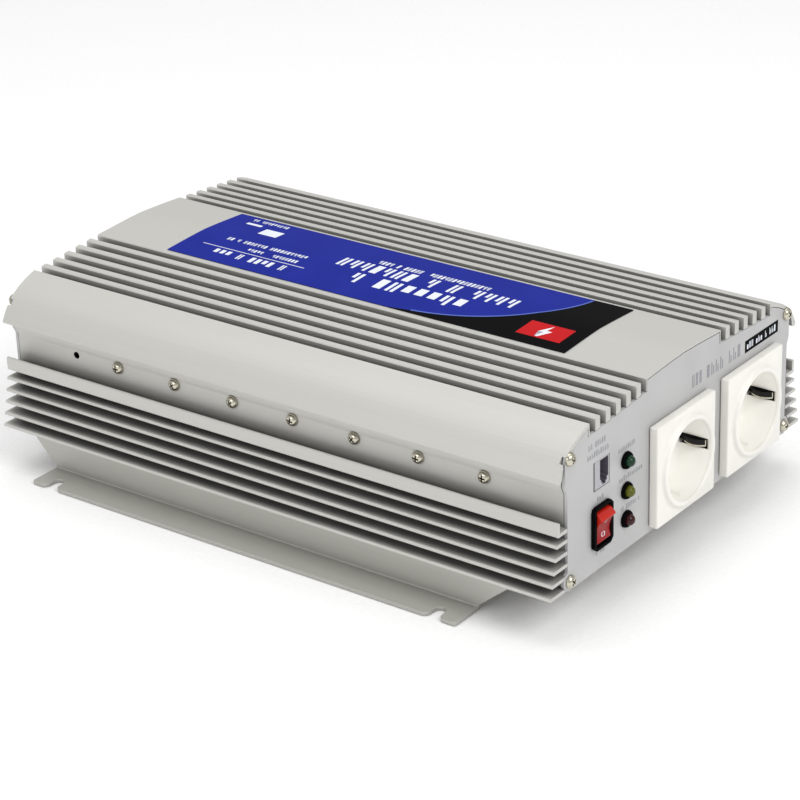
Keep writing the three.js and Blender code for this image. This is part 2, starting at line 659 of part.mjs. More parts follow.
function topLabel() {
  const [under, over] = [0.2, 0.5];
  const xs = Array.from({ length: 9 }, (_, i) => -LABEL_HALF + (i * LABEL_HALF) / 4);
  const bottom = xs.map((x) => [x, crownHeight(x) + under]);
  const top = xs.map((x) => [x, crownHeight(x) + over]).reverse();
  return sweptY(polygon([...bottom, ...top]), ...LABEL_Y);
}

// ---------------------------------------------------------------- screws

// Pan-head screw along +Y: the underside of its head is at y = 0.
function panScrew(length) {
  const head = SCREW_HEAD_RADIUS;
  const blank = turnedY([
    [0, -2.6], [0.6 * head, -2.2], [0.9 * head, -1.3], [head, -0.4], [head, 0],
    [SCREW_SHANK_RADIUS, 0], [SCREW_SHANK_RADIUS, length], [0, length],
  ], 12);
  const recess = [
    box([-1.9, 1.9], [-3, -1.2], [-0.5, 0.5]),
    box([-0.5, 0.5], [-3, -1.2], [-1.9, 1.9]),
  ];
  return cut(blank, ...recess);
}

function groundScrew() {
  const head = new THREE.CylinderGeometry(4.4, 4.4, 3.2, 6).translate(0, -3, 0);
  const washer = new THREE.CylinderGeometry(5.6, 5.6, 1.2, 20).translate(0, -0.95, 0);
  const shank = new THREE.CylinderGeometry(2, 2, 11, 14).translate(0, 4, 0);
  return join(head, washer, shank);
}

// ---------------------------------------------------------------- fan

function fanFrame() {
  const half = FAN_SIZE / 2;
  const block = sweptY(roundedRectangle(-half, half, -half, half, 3.5), 0, FAN_DEPTH, 3);
  const bore = rodY(FAN_BORE, -1, FAN_DEPTH + 1, 0, 0, 40);
  const screwHoles = [-25, 25].flatMap((x) => [-25, 25].map((z) => (
    rodY(2.15, -1, FAN_DEPTH + 1, x, z, 10)
  )));
  const hub = rodY(13, 0, 2.6, 0, 0, 24);
  const struts = [0, 1, 2].map((i) => {
    const strut = box([10, FAN_BORE + 0.8], [0.1, 2.4], [-1.6, 1.6]);
    return strut.rotateY((i * 2 * Math.PI) / 3 + 0.4);
  });
  const bearing = rodY(1.8, 1, 4, 0, 0, 14);
  return cut(join(cut(block, bore, ...screwHoles), hub, ...struts), bearing);
}

function fanRotor() {
  const hub = turnedY([[0, 3], [12.5, 3], [12.5, 20.2], [11.4, 21.4], [0, 21.4]], 24);
  const shaft = rodY(1.5, 1.4, 4, 0, 0, 14);
  const blades = Array.from({ length: 7 }, (_, i) => {
    const blade = box([11.5, 27.4], [-0.7, 0.7], [-8.2, 8.2]);
    return blade.rotateX(THREE.MathUtils.degToRad(48)).translate(0, 12, 0).rotateY((i * 2 * Math.PI) / 7);
  });
  return join(hub, shaft, ...blades);
}

// ---------------------------------------------------------------- battery terminals

const COLLAR_END = BODY_LENGTH + 8.3;
const WASHER_END = COLLAR_END + GAP + 1.6;
const KNOB_START = WASHER_END + GAP;

function terminalCollar() {
  const bore = STUD_RADIUS + GAP;
  const front = BODY_LENGTH - 12;
  return turnedY([
    [bore, front], [7, front], [7, BODY_LENGTH + GAP], [12, BODY_LENGTH + GAP],
    [12, COLLAR_END - 1], [11, COLLAR_END], [bore, COLLAR_END], [bore, front],
  ], 28);
}

function terminalStud() {
  const inner = BODY_LENGTH - 20;
  return turnedY([
    [0, inner], [7, inner], [7, inner + 5], [STUD_RADIUS, inner + 5],
    [STUD_RADIUS, STUD_END - 0.8], [STUD_RADIUS - 0.8, STUD_END], [0, STUD_END],
  ], 20);
}

function terminalWasher() {
  const bore = STUD_RADIUS + GAP;
  const start = WASHER_END - 1.6;
  return turnedY([[bore, start], [8.8, start], [8.8, WASHER_END], [bore, WASHER_END], [bore, start]], 24);
}

// A hand knob with flutes, round the stud.
function terminalKnob() {
  const flutes = 12;
  const outline = new THREE.Shape();
  for (let i = 0; i < flutes; i++) {
    const middle = (i / flutes) * 2 * Math.PI;
    [[-0.3, 10], [-0.16, 10.4], [0.16, 10.4], [0.3, 10]].forEach(([step, radius]) => {
      const angle = middle + (step * 2 * Math.PI) / flutes;
      const [x, z] = [radius * Math.cos(angle), radius * Math.sin(angle)];
      if (i === 0 && step === -0.3) {
        outline.moveTo(x, z);
      } else {
        outline.lineTo(x, z);
      }
    });
  }
  const grip = sweptY(outline, KNOB_START, KNOB_START + 12);
  const bore = rodY(STUD_RADIUS + GAP, KNOB_START - 1, KNOB_START + 14, 0, 0, 20);
  return cut(grip, bore);
}

// ---------------------------------------------------------------- inside the case

function circuitBoard() {
  return box([-80, 80], [14, 300], [BOARD_Z, BOARD_Z + 1.6]);
}

function transformer() {
  const foot = BOARD_Z + 1.6 + GAP;
  const core = box([-24, 24], [-16, 16], [foot, foot + 40]);
  const winding = rodZ(19.5, foot + 5, foot + 35, 0, 0, 24).scale(0.85, 1.15, 1);
  return join(core, winding);
}

function capacitor() {
  const foot = BOARD_Z + 1.6 + GAP;
  return rodZ(14, foot, foot + 42, 0, 0, 24);
}

function transistorBar() {
  const bar = box([WALL_INNER - GAP - 5, WALL_INNER - GAP], [30, 285], [SIDE_SCREW_Z - 6, SIDE_SCREW_Z + 6]);
  const holes = sideScrewY.map((y) => rodX(SCREW_HOLE_RADIUS, 85, 100, y, SIDE_SCREW_Z, 12));
  return cut(bar, ...holes);
}

// ---------------------------------------------------------------- assembly

const inverter = new THREE.Group();
inverter.position.set(0, -Y_CENTRE, 0);

function add(name, geometry, finish, position = [0, 0, 0], rotation = [0, 0, 0]) {
  const mesh = new THREE.Mesh(welded(geometry), new THREE.MeshStandardMaterial(FINISH[finish]));
  mesh.name = name;
  mesh.position.set(...position);
  mesh.rotation.set(...rotation);
  inverter.add(mesh);
}

add('housing_extrusion', housing(), 'aluminium');
add('base_plate', basePlate(), 'sheet');
add('front_panel', frontPanel(), 'panel');
add('rear_panel', rearPanel(), 'panel');

const rail = mountingRail();
add('mounting_rail_left', mirrored(rail), 'sheet');
add('mounting_rail_right', rail, 'sheet');

const shell = outletShell();
const clip = earthClip();
['left', 'right'].forEach((side, i) => {
  add(`outlet_${side}_shell`, shell, 'outletWhite', [OUTLET_X[i], 0, OUTLET_Z]);
  add(`outlet_${side}_earth_clip`, clip, 'nickel', [OUTLET_X[i], 0, OUTLET_Z]);
});

add('switch_housing', switchHousing(), 'blackPlastic', [SWITCH_X, 0, SWITCH_Z]);
add('switch_rocker', switchRocker(), 'redPlastic', [SWITCH_X, ROCKER_PIVOT_Y, SWITCH_Z]);
add('remote_port', remotePort(), 'greyPlastic', [PORT_X, 0, PORT_Z]);

const lensFinish = { normal: 'greenLens', over_temperature: 'amberLens', overload: 'redLens' };
Object.entries(LAMP_Z).forEach(([lamp, z]) => {
  add(`lamp_${lamp}_bezel`, lampBezel(), 'blackPlastic', [LAMP_X, 0, z]);
  add(`lamp_${lamp}_lens`, lampLens(), lensFinish[lamp], [LAMP_X, 0, z]);
});

add('top_label', topLabel(), 'label');

const endScrew = panScrew(9);
CORNER_SCREWS.forEach(([x, z], i) => {
  add(`front_screw_${i + 1}`, endScrew, 'nickel', [x, -SEAT, z]);
  add(`rear_screw_${i + 1}`, endScrew, 'nickel', [x, BODY_LENGTH + SEAT, z], [0, 0, Math.PI]);
});

const sideScrew = panScrew(7);
sideScrewY.forEach((y, i) => {
  const out = WALL_OUTER + SEAT;
  add(`side_screw_left_${i + 1}`, sideScrew, 'nickel', [-out, y, SIDE_SCREW_Z], [0, 0, -Math.PI / 2]);
  add(`side_screw_right_${i + 1}`, sideScrew, 'nickel', [out, y, SIDE_SCREW_Z], [0, 0, Math.PI / 2]);
});

const bar = transistorBar();
add('transistor_bar_left', mirrored(bar), 'aluminium');
add('transistor_bar_right', bar, 'aluminium');

add('fan_frame', fanFrame(), 'blackPlastic', [FAN_X, FAN_REAR - FAN_DEPTH, FAN_Z]);
add('fan_rotor', fanRotor(), 'blackPlastic', [FAN_X, FAN_REAR - FAN_DEPTH, FAN_Z]);

const poleFinish = { negative: 'blackPlastic', positive: 'redPlastic' };
Object.entries(TERMINAL_X).forEach(([pole, x]) => {
  add(`terminal_${pole}_collar`, terminalCollar(), poleFinish[pole], [x, 0, TERMINAL_Z]);
  add(`terminal_${pole}_stud`, terminalStud(), 'brass', [x, 0, TERMINAL_Z]);
  add(`terminal_${pole}_washer`, terminalWasher(), 'nickel', [x, 0, TERMINAL_Z]);
  add(`terminal_${pole}_knob`, terminalKnob(), poleFinish[pole], [x, 0, TERMINAL_Z]);
});
const groundAt = [GROUND_SCREW[0], BODY_LENGTH, GROUND_SCREW[1]];
add('ground_screw', groundScrew(), 'nickel', groundAt, [0, 0, Math.PI]);

add('circuit_board', circuitBoard(), 'board');
add('transformer_1', transformer(), 'ferrite', [-30, 190, 0]);
add('transformer_2', transformer(), 'ferrite', [30, 190, 0]);
add('bulk_capacitor', capacitor(), 'capacitor', [0, 110, 0]);

export default inverter;
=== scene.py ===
"""The looks of the mains power inverter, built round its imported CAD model.

Outlines and profiles are drawn in millimetres, and MM turns them into metres. Edge widths, and places
read from the boxes of the CAD nodes, are in metres. The print is placed by its distance from the middle
and from the front panel. +X is to the right seen from the outlet end, -Y is out of that end, +Z is up.
"""
import json
import math
import random

import bmesh
import bpy
from mathutils import Matrix, Vector


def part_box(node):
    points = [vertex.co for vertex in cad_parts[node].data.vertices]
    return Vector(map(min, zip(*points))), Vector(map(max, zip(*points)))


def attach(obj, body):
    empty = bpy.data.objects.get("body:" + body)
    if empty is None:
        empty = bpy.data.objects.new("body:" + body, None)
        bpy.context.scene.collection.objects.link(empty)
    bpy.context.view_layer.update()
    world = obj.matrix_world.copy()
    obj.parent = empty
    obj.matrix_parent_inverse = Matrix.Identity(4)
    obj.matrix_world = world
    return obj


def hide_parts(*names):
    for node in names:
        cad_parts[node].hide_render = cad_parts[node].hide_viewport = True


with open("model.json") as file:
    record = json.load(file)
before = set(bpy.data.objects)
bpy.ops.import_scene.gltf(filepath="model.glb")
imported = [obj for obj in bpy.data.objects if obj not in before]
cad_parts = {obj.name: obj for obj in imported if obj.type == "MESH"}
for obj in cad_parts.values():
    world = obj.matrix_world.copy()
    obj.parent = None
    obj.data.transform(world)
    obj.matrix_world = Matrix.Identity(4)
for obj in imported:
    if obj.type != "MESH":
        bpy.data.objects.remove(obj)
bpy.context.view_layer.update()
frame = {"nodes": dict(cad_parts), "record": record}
MM = 0.001

CASE = "case"
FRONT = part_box("front_panel")[0].y            # face of the front panel
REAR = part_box("rear_panel")[1].y              # outer face of the rear panel


# ------------------------------------------------------------------ camera, light and floor

def make_camera():
    """A long lens on the left front corner, looking down a little, with a slight roll."""
    azimuth, elevation, roll = math.radians(-52.5), math.radians(24.83), math.radians(-1.99)
    target = Vector((2.5 * MM, FRONT + 169.9 * MM, 36.0 * MM))
    distance = 1353.6 * MM
    back = Vector((
        math.sin(azimuth) * math.cos(elevation),
        -math.cos(azimuth) * math.cos(elevation),
        math.sin(elevation),
    ))
    level = (-back).cross(Vector((0, 0, 1))).normalized()
    upright = level.cross(-back)
    right = level * math.cos(roll) + upright * math.sin(roll)
    up = upright * math.cos(roll) - level * math.sin(roll)
    data = bpy.data.cameras.new("camera")
    data.sensor_width = 36
    data.lens = 118.67
    data.clip_start = 0.05
    data.clip_end = 20
    camera = bpy.data.objects.new("camera", data)
    bpy.context.scene.collection.objects.link(camera)
    turn = Matrix((right, up, back)).transposed().to_4x4()
    camera.matrix_world = Matrix.Translation(target + back * distance) @ turn
    bpy.context.scene.camera = camera


def area_light(name, place, aim, size, power):
    """A rectangular lamp that faces its aim."""
    data = bpy.data.lights.new(name, "AREA")
    data.shape = "RECTANGLE"
    data.size, data.size_y = size
    data.energy = power
    light = bpy.data.objects.new(name, data)
    bpy.context.scene.collection.objects.link(light)
    light.location = place
    light.rotation_euler = (Vector(aim) - Vector(place)).to_track_quat("-Z", "Y").to_euler()


def make_studio():
    """Even white light, with a broad key over the front and weaker light on the left side."""
    world = bpy.data.worlds.new("studio")
    world.use_nodes = True
    background = world.node_tree.nodes["Background"]
    background.inputs["Color"].default_value = (1, 1, 1, 1)
    background.inputs["Strength"].default_value = 0.6
    bpy.context.scene.world = world
    bpy.context.scene.view_settings.view_transform = "Standard"
    area_light("key", (-0.35, -1.5, 1.5), (0, 0, 0.05), (1.1, 0.9), 16)
    area_light("overhead", (0.1, 0.3, 1.8), (0, 0, 0.1), (1.6, 1.6), 12)
    area_light("left_fill", (-1.7, 0.1, 0.75), (0, 0, 0.05), (1.0, 0.6), 5)


def make_floor():
    """A pale paper floor, a hair below the object."""
    mesh = bpy.data.meshes.new("floor")
    side = 6.0
    mesh.from_pydata(
        [(-side, -side, 0), (side, -side, 0), (side, side, 0), (-side, side, 0)], [], [(0, 1, 2, 3)])
    floor = bpy.data.objects.new("floor", mesh)
    bpy.context.scene.collection.objects.link(floor)
    floor.location.z = -0.0002
    material, shader, nodes = new_material("floor_paper", srgb(252, 252, 252), 0.9)
    fibre = object_noise(nodes, 400, 2.0)
    tone = spread(nodes, fibre, 0.3, 0.7, srgb(250, 250, 250), srgb(254, 254, 254))
    nodes.join(tone, shader.inputs["Base Color"])
    mesh.materials.append(material)


# ------------------------------------------------------------------ materials

# A mix node has one pair of inputs for each kind of value, all with the same names, so they go by number.
MIX_NUMBERS, MIX_COLOURS = (2, 3), (6, 7)
MIXED_NUMBER, MIXED_COLOUR = 0, 2
GRAIN_DEPTH = 0.00006                         # metres, of every bumped surface
CREVICE_REACH = 10 * MM                       # how near other metal must stand for painted shade to darken the metalwork


def srgb(r, g, b):
    """A display colour, 0 to 255 each way, as the linear colour that a shader takes."""
    def linear(c):
        c /= 255
        return c / 12.92 if c <= 0.04045 else ((c + 0.055) / 1.055) ** 2.4
    return (linear(r), linear(g), linear(b), 1)


class Nodes:
    """A short way to add and join the nodes of one material."""

    def __init__(self, tree):
        self.tree = tree

    def add(self, kind, **settings):
        """A new node, with each setting given to its input, or else to its property, of that name."""
        node = self.tree.nodes.new(kind)
        for key, value in settings.items():
            if key in node.inputs:
                node.inputs[key].default_value = value
            else:
                setattr(node, key, value)
        return node

    def join(self, source, target):
        self.tree.links.new(source, target)


def new_material(name, colour, roughness, metallic=0.0):
    """A plain material, with its shader and the means to add nodes to it."""
    material = bpy.data.materials.new(name)
    material.use_nodes = True
    nodes = Nodes(material.node_tree)
    shader = material.node_tree.nodes["Principled BSDF"]
    shader.inputs["Base Color"].default_value = colour
    shader.inputs["Roughness"].default_value = roughness
    shader.inputs["Metallic"].default_value = metallic
    return material, shader, nodes


def object_noise(nodes, scale, detail, stretch=(1, 1, 1)):
    """Noise in the object's own space, in features per metre, stretched along an axis."""
    place = nodes.add("ShaderNodeTexCoord")
    mapping = nodes.add("ShaderNodeMapping")
    mapping.inputs["Scale"].default_value = stretch
    noise = nodes.add("ShaderNodeTexNoise", Scale=scale, Detail=detail)
    nodes.join(place.outputs["Object"], mapping.inputs["Vector"])
    nodes.join(mapping.outputs["Vector"], noise.inputs["Vector"])
    return noise.outputs["Fac"]


def spread(nodes, value, low, high, dark, light):
    """A colour that runs from dark to light as value runs from low to high."""
    ramp = nodes.add("ShaderNodeValToRGB")
    ramp.color_ramp.elements[0].position = low
    ramp.color_ramp.elements[0].color = dark
    ramp.color_ramp.elements[1].position = high
    ramp.color_ramp.elements[1].color = light
    nodes.join(value, ramp.inputs["Fac"])
    return ramp.outputs["Color"]


def ranged(nodes, value, low, high):
    """The value, from 0 to 1, spread from low to high."""
    node = nodes.add("ShaderNodeMapRange")
    node.inputs["To Min"].default_value = low
    node.inputs["To Max"].default_value = high
    nodes.join(value, node.inputs["Value"])
    return node.outputs["Result"]


def bump(nodes, shader, height, strength):
    """Lets the height tilt the surface's normal."""
    node = nodes.add("ShaderNodeBump", Strength=strength, Distance=GRAIN_DEPTH)
    nodes.join(height, node.inputs["Height"])
    nodes.join(node.outputs["Normal"], shader.inputs["Normal"])


def painted_crevice_shade(nodes, colour, reach, darkest):
    """The same colour with painted shade: darker where other surfaces stand close round it, within reach.
    """
    occlusion = nodes.add("ShaderNodeAmbientOcclusion", Distance=reach)
    occlusion.samples = 8
    open_to_light = nodes.add("ShaderNodeMapRange")
    open_to_light.inputs["From Min"].default_value = 0.15
    open_to_light.inputs["From Max"].default_value = 0.75
    open_to_light.inputs["To Min"].default_value = darkest
    nodes.join(occlusion.outputs["AO"], open_to_light.inputs["Value"])
    mix = nodes.add("ShaderNodeMix", data_type="RGBA", blend_type="MULTIPLY")
    mix.inputs[0].default_value = 1.0
    nodes.join(colour, mix.inputs[MIX_COLOURS[0]])
    nodes.join(open_to_light.outputs["Result"], mix.inputs[MIX_COLOURS[1]])
    return mix.outputs[MIXED_COLOUR]


def shade(colour, factor):
    """A linear colour made lighter or darker."""
    return (colour[0] * factor, colour[1] * factor, colour[2] * factor, 1)


def extruded_aluminium(name, colour, metallic=0.3, roughness=0.5, darkest=0.22):
    """Satin anodised metal with faint die lines along Y, a fine etched grain and painted shade in its
    crevices.
    """
    material, shader, nodes = new_material(name, colour, roughness, metallic)
    lines = object_noise(nodes, 1.0, 4.0, (900, 6, 900))
    grain = object_noise(nodes, 2600, 2.0)
    patches = object_noise(nodes, 14, 2.0)
    both = nodes.add("ShaderNodeMix", data_type="FLOAT")
    both.inputs[0].default_value = 0.6
    nodes.join(lines, both.inputs[MIX_NUMBERS[0]])
    nodes.join(grain, both.inputs[MIX_NUMBERS[1]])
    mixed = both.outputs[MIXED_NUMBER]
    tone = spread(nodes, mixed, 0.3, 0.7, shade(colour, 0.96), shade(colour, 1.03))
    nodes.join(painted_crevice_shade(nodes, tone, CREVICE_REACH, darkest), shader.inputs["Base Color"])
    nodes.join(ranged(nodes, patches, roughness - 0.04, roughness + 0.06), shader.inputs["Roughness"])
    bump(nodes, shader, mixed, 0.1)
    return material


def grained(name, colour, roughness, scale, strength, metallic=0.0, variation=0.04, coat=0.0, specular=0.5,
            crevice=0.0):
    """A moulded, coated or plated surface with a fine grain and slight colour variation.

    Where a reach is given for crevices, shade is painted into gaps that narrow, which come out darker.
    """
    material, shader, nodes = new_material(name, colour, roughness, metallic)
    grain = object_noise(nodes, scale, 3.0)
    patches = object_noise(nodes, 45, 2.0)
    tone = spread(nodes, patches, 0.3, 0.7, shade(colour, 1 - variation), shade(colour, 1 + variation))
    if crevice:
        tone = painted_crevice_shade(nodes, tone, crevice, 0.1)
    nodes.join(tone, shader.inputs["Base Color"])
    nodes.join(ranged(nodes, grain, roughness - 0.06, roughness + 0.06), shader.inputs["Roughness"])
    bump(nodes, shader, grain, strength)
    shader.inputs["Specular IOR Level"].default_value = specular
    if coat:
        shader.inputs["Coat Weight"].default_value = coat
        shader.inputs["Coat Roughness"].default_value = 0.15
    return material


def ink(name, colour, variation=0.05, roughness=0.5):
    """Printed ink, which hardly shines."""
    return grained(name, colour, roughness, 1500, 0.05, variation=variation, specular=0.02)


def lens_material(name, colour):
    """Tinted plastic that lets a little light through."""
    material, shader, nodes = new_material(name, colour, 0.16)
    shader.inputs["Transmission Weight"].default_value = 0.25
    shader.inputs["IOR"].default_value = 1.49
    shader.inputs["Specular IOR Level"].default_value = 0.3
    shader.inputs["Subsurface Weight"].default_value = 0.2
    shader.inputs["Subsurface Scale"].default_value = 0.001
    cloud = object_noise(nodes, 500, 2.0)
    tone = spread(nodes, cloud, 0.3, 0.7, shade(colour, 0.8), shade(colour, 1.15))
    nodes.join(tone, shader.inputs["Base Color"])
    return material


MAT = {
    "housing": extruded_aluminium("anodised_aluminium", srgb(196, 195, 190)),
    "sheet": extruded_aluminium("sheet_aluminium", srgb(186, 185, 179), 0.35, 0.45, 0.5),
    "panel": grained("coated_panel", srgb(184, 184, 184), 0.5, 1800, 0.25, 0.15),
    "outlet": grained("outlet_plastic", srgb(236, 234, 227), 0.34, 900, 0.04, coat=0.1),
    # The outlet plastic again, lighter, for the faces inside the well: painted light.
    "outlet_inside": grained("outlet_well_painted_light", srgb(248, 246, 240), 0.42, 900, 0.05),
    "black": grained(
        "black_plastic", srgb(8, 8, 10), 0.55, 2200, 0.3, variation=0.1, specular=0.02),
    "grey": grained("grey_plastic", srgb(172, 172, 176), 0.5, 2200, 0.3),
    # A near black used only as painted shade: on the panel's top edge, in the strip slots and on the earth
    # clips.
    "dark": grained("painted_shade_black", srgb(26, 25, 26), 0.6, 2200, 0.3, specular=0.2),
    # Darker than the grey plastic, for the socket's deep faces: painted shade.
    "socket": grained("socket_painted_shade", srgb(100, 96, 108), 0.5, 2200, 0.3, specular=0.3),
    "red": grained("red_plastic", srgb(190, 30, 14), 0.34, 1200, 0.05, coat=0.1, specular=0.3),
    "rose": grained("rocker_face", srgb(148, 22, 26), 0.38, 1200, 0.05, specular=0.2),
    "green_lens": lens_material("green_lens", srgb(8, 60, 32)),
    "amber_lens": lens_material("amber_lens", srgb(100, 104, 16)),
    "red_lens": lens_material("red_lens", srgb(60, 7, 8)),
    "blue_ink": ink("blue_ink", srgb(34, 45, 142)),
    "pale_blue_ink": ink("pale_blue_ink", srgb(92, 112, 190)),
    "black_ink": ink("black_ink", srgb(9, 9, 11), variation=0.1),
    "white_ink": ink("white_ink", srgb(226, 230, 238), variation=0.02, roughness=0.4),
    "red_ink": ink("red_ink", srgb(190, 34, 38)),
    "grey_ink": grained("grey_ink", srgb(140, 140, 146), 0.5, 1500, 0.05, variation=0.08),
    # Nickel takes painted shade in its crevices, such as the screws' cross recesses.
    "nickel": grained(
        "nickel_plate", srgb(200, 195, 178), 0.22, 1500, 0.1, 1.0, variation=0.05, crevice=1.6 * MM),
    "brass": grained("turned_brass", srgb(205, 168, 84), 0.28, 1500, 0.12, 1.0, variation=0.06),
    "board": grained("circuit_board", srgb(28, 92, 56), 0.5, 700, 0.3, variation=0.15),
    "ferrite": grained("ferrite", srgb(60, 60, 62), 0.7, 1400, 0.5, variation=0.1),
    "sleeve": grained("capacitor_sleeve", srgb(34, 52, 112), 0.35, 900, 0.05, coat=0.2),
}

SLOT_MATERIAL = {
    "housing": "housing", "panel": "panel", "sheet_metal": "sheet", "outlet": "outlet",
    "black_plastic": "black", "grey_plastic": "grey", "red_plastic": "red",
    "green_lens": "green_lens", "amber_lens": "amber_lens", "red_lens": "red_lens",
    "label": "blue_ink", "nickel": "nickel", "brass": "brass", "board": "board",
    "ferrite": "ferrite", "capacitor_sleeve": "sleeve",
}
NODE_SLOT = {part["node"]: part["material_slot"] for part in frame["record"]["subparts"]}
NODE_BODY = {node: body for body, nodes in frame["record"]["behaviour"]["bodies"].items() for node in nodes}


def finish_of(node):
    """The material that goes with a CAD node's slot."""
    return MAT[SLOT_MATERIAL[NODE_SLOT[node]]]


# ------------------------------------------------------------------ making pieces

EDGE_ANGLE = 32                               # degrees, above which an edge counts as an edge


def piece(name, mesh, material, body=CASE, replaces=()):
    """A shown object that rides on a CAD body."""
    if not mesh.materials:
        mesh.materials.append(material)
    obj = bpy.data.objects.new(name, mesh)
    bpy.context.scene.collection.objects.link(obj)
    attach(obj, body)
    if replaces:
        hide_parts(*replaces)
    return obj


def smooth(mesh, angle=35):
    """Smooth shading, with edges above angle kept sharp."""
    mesh.polygons.foreach_set("use_smooth", [True] * len(mesh.polygons))
    mesh.set_sharp_from_angle(angle=math.radians(angle))
    mesh.update()


def with_modifiers(obj):
    """Gives an object the mesh that its modifiers make, and clears them."""
    depsgraph = bpy.context.evaluated_depsgraph_get()
    mesh = bpy.data.meshes.new_from_object(obj.evaluated_get(depsgraph), depsgraph=depsgraph)
    obj.modifiers.clear()
    obj.data = mesh


def bevelled(mesh, width, segments=2, angle=EDGE_ANGLE):
    """Rounds the edges of a mesh that are sharper than angle, and evens out its shading."""
    obj = bpy.data.objects.new("work", mesh)
    bpy.context.scene.collection.objects.link(obj)
    edges = obj.modifiers.new("edges", "BEVEL")
    edges.width = width
    edges.segments = segments
    edges.limit_method = "ANGLE"
    edges.angle_limit = math.radians(angle)
    edges.use_clamp_overlap = True
    edges.harden_normals = False
    even = obj.modifiers.new("even", "WEIGHTED_NORMAL")
    even.keep_sharp = True
    with_modifiers(obj)
    result = obj.data
    bpy.data.objects.remove(obj)
    return result


def split_at(shape, place, normal):
    """Runs an edge round a bmesh where a plane crosses it."""
    everything = [*shape.verts, *shape.edges, *shape.faces]
    bmesh.ops.bisect_plane(shape, geom=everything, plane_co=place, plane_no=normal, dist=1e-7)


def refined(node, width, segments, level=None):
    """A copy of a CAD node with its flat faces merged and its edges rounded, which replaces it.

    Where a level is given, edges run round the copy at that height, so faces on one side of it can take
    painted shade.
    """
    mesh = frame["nodes"][node].data.copy()
    mesh.materials.clear()
    shape = bmesh.new()
    shape.from_mesh(mesh)
    bmesh.ops.remove_doubles(shape, verts=shape.verts, dist=0.002 * MM)
    bmesh.ops.dissolve_limit(
        shape, angle_limit=math.radians(1.0), verts=shape.verts, edges=shape.edges, delimit={"NORMAL"})
    if level is not None:
        split_at(shape, (0, 0, level), (0, 0, 1))
    shape.to_mesh(mesh)
    shape.free()
    smooth(mesh, EDGE_ANGLE)
    mesh = bevelled(mesh, width, segments)
    return piece(f"{node}_finished", mesh, finish_of(node), NODE_BODY[node], [node])


# ------------------------------------------------------------------ shapes

def box_mesh(x, y, z):
    """A box between two limits on each axis, in millimetres."""
    shape = bmesh.new()
    bmesh.ops.create_cube(shape, size=1)
    limits = (x, y, z)
    for vert in shape.verts:
        place = Vector(low + (u + 0.5) * (high - low) for u, (low, high) in zip(vert.co, limits))
        vert.co = place * MM
    return as_mesh(shape)


def as_mesh(shape):
    """A mesh from a bmesh, with its faces turned outwards."""
    bmesh.ops.recalc_face_normals(shape, faces=shape.faces)
    mesh = bpy.data.meshes.new("shape")
    shape.to_mesh(mesh)
    shape.free()
    return mesh


def lathe(profile, segments, centre=(0, 0)):
    """A closed solid turned about a line along Y, from [radius, y] points in millimetres."""
    shape = bmesh.new()
    closed = profile[0] == profile[-1]
    points = profile[:-1] if closed else profile
    rings = []
    for radius, along in points:
        if radius == 0:
            rings.append([shape.verts.new(Vector((centre[0], along, centre[1])) * MM)])
            continue
        ring = []
        for i in range(segments):
            angle = 2 * math.pi * i / segments
            place = (centre[0] + radius * math.cos(angle), along, centre[1] + radius * math.sin(angle))
            ring.append(shape.verts.new(Vector(place) * MM))
        rings.append(ring)
    pairs = list(zip(rings, rings[1:] + (rings[:1] if closed else [])))
    for first, second in pairs:
        for i in range(segments):
            j = (i + 1) % segments
            near = [first[i % len(first)], first[j % len(first)]]
            far = [second[j % len(second)], second[i % len(second)]]
            unique = list(dict.fromkeys(near + far))
            if len(unique) > 2:
                shape.faces.new(unique)
    return as_mesh(shape)


def prism(outline, span, axis):
    """A solid with the given outline, in millimetres, swept over span along axis x, y or z."""
    places = {
        "x": lambda u, v, w: (w, u, v),
        "y": lambda u, v, w: (u, w, v),
        "z": lambda u, v, w: (u, v, w),
    }
    place = places[axis]
    shape = bmesh.new()
    near = [shape.verts.new(Vector(place(u, v, span[0])) * MM) for u, v in outline]
    far = [shape.verts.new(Vector(place(u, v, span[1])) * MM) for u, v in outline]
    shape.faces.new(near)
    shape.faces.new(far)
    count = len(outline)
    for i in range(count):
        j = (i + 1) % count
        shape.faces.new((near[i], near[j], far[j], far[i]))
    return as_mesh(shape)


def combined(mesh, others, operation):
    """The mesh joined with, or cut by, each of the others."""
    obj = bpy.data.objects.new("work", mesh)
    bpy.context.scene.collection.objects.link(obj)
    helpers = []
    for other in others:
        helper = bpy.data.objects.new("helper", other)
        bpy.context.scene.collection.objects.link(helper)
        helpers.append(helper)
        step = obj.modifiers.new("step", "BOOLEAN")
        step.operation = operation
        step.solver = "EXACT"
        step.object = helper
    with_modifiers(obj)
    result = obj.data
    for helper in helpers:
        bpy.data.objects.remove(helper)
    bpy.data.objects.remove(obj)
    return result


def joined(meshes):
    """Several separate solids as one mesh."""
    shape = bmesh.new()
    for mesh in meshes:
        shape.from_mesh(mesh)
    return as_mesh(shape)


def moved(mesh, place, turn=None):
    """The mesh turned about the origin, if there is a turn, and then shifted."""
    mesh.transform(Matrix.Translation(place) @ (turn or Matrix()))
    return mesh


def centre_of(node):
    """The middle of a CAD node's box."""
    low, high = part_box(node)
    return (low + high) / 2


def painted(mesh, material, test):
    """Gives the faces that pass the test a second material."""
    mesh.materials.append(material)
    index = len(mesh.materials) - 1
    for face in mesh.polygons:
        if test(face):
            face.material_index = index


make_camera()
make_studio()
make_floor()

# Every CAD node gets its finish, though finer pieces replace them below.
for node, obj in frame["nodes"].items():
    obj.data.materials.clear()
    obj.data.materials.append(finish_of(node))

# ------------------------------------------------------------------ metalwork

